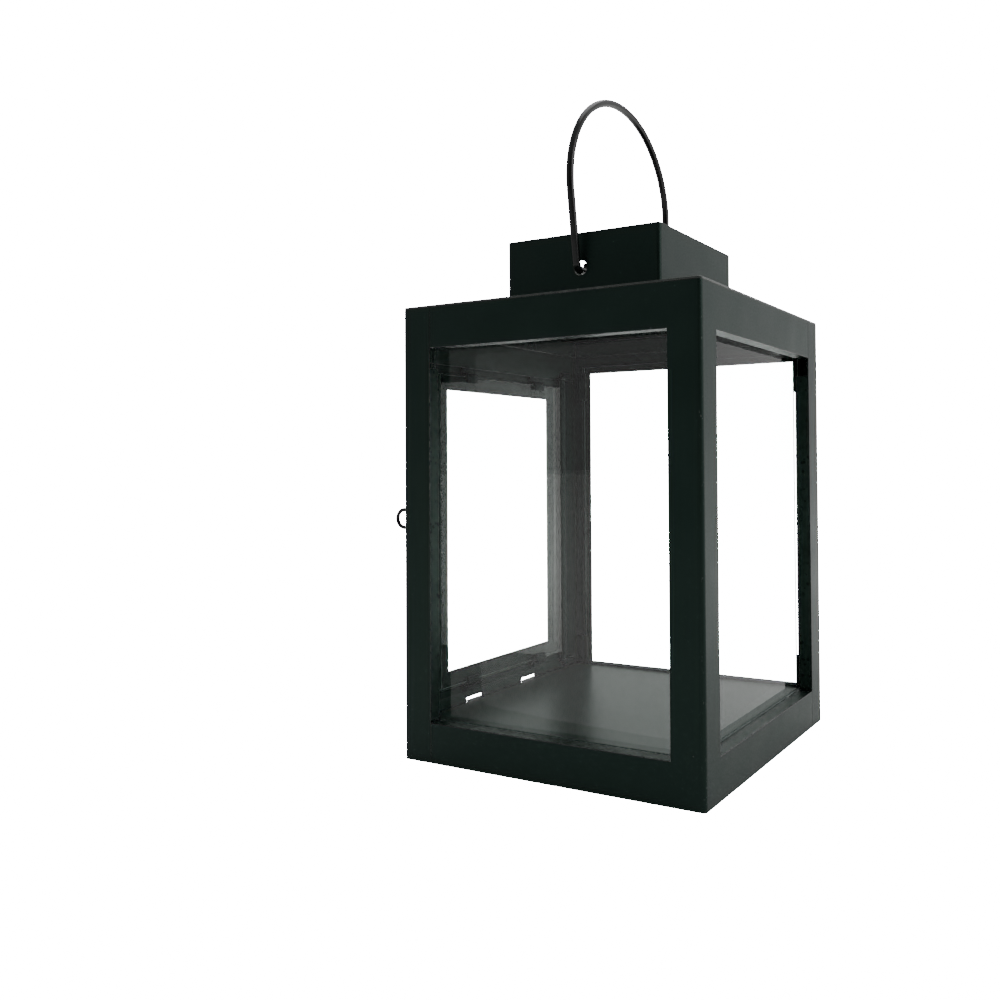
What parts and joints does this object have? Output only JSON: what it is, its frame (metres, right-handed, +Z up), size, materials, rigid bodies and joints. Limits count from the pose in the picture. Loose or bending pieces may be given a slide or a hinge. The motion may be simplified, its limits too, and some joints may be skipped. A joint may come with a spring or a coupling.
{
  "type": "candle lantern",
  "caption": "Small square black metal lantern with glass sides, a hinged glass door, an open square chimney on the flat roof and a round wire handle that swings.",
  "frame": {"origin": "centre of the body's 100 x 100 mm footprint, on the surface the lantern stands on", "axes": "+Z up; the front faces -Y; the door is on the -X side; the handle's pivot runs along Y"},
  "size_m": [0.109, 0.1, 0.2079],
  "materials": {
    "black_paint": "satin black paint over folded sheet steel, faintly green in the light",
    "wire_paint": "semi-gloss black paint over round steel wire",
    "clip_paint": "matt black paint over thin bent steel",
    "clear_glass": "clear float glass, polished"
  },
  "bodies": {
    "lantern": {"front_right_shell": "black_paint", "back_left_shell": "black_paint", "floor_pan": "black_paint", "roof_plate": "black_paint", "chimney": "black_paint", "lower_hinge_lug": "black_paint", "upper_hinge_lug": "black_paint", "front_glass": "clear_glass", "right_glass": "clear_glass", "back_glass": "clear_glass", "front_clip_top_left": "clip_paint", "front_clip_top_right": "clip_paint", "right_clip_top_near": "clip_paint", "right_clip_top_far": "clip_paint", "back_clip_top_left": "clip_paint", "back_clip_top_right": "clip_paint", "back_clip_bottom_left": "clip_paint", "back_clip_bottom_right": "clip_paint"},
    "door": {"door_frame": "black_paint", "door_glass": "clear_glass", "door_hinge_rod": "wire_paint", "door_pull": "wire_paint", "door_clip_top_front": "clip_paint", "door_clip_top_back": "clip_paint", "door_clip_bottom_front": "clip_paint", "door_clip_bottom_back": "clip_paint"},
    "handle": {"bail": "wire_paint"}
  },
  "joints": [
    {"name": "door_hinge", "type": "hinge", "parent": "lantern", "child": "door", "pos_m": [-0.04835, 0.03785, 0.068], "axis": [0, 0, -1], "range_deg": [0, 100]},
    {"name": "handle_pivot", "type": "hinge", "parent": "lantern", "child": "handle", "pos_m": [0, 0, 0.14845], "axis": [0, 1, 0], "range_deg": [-100, 100]}
  ]
}
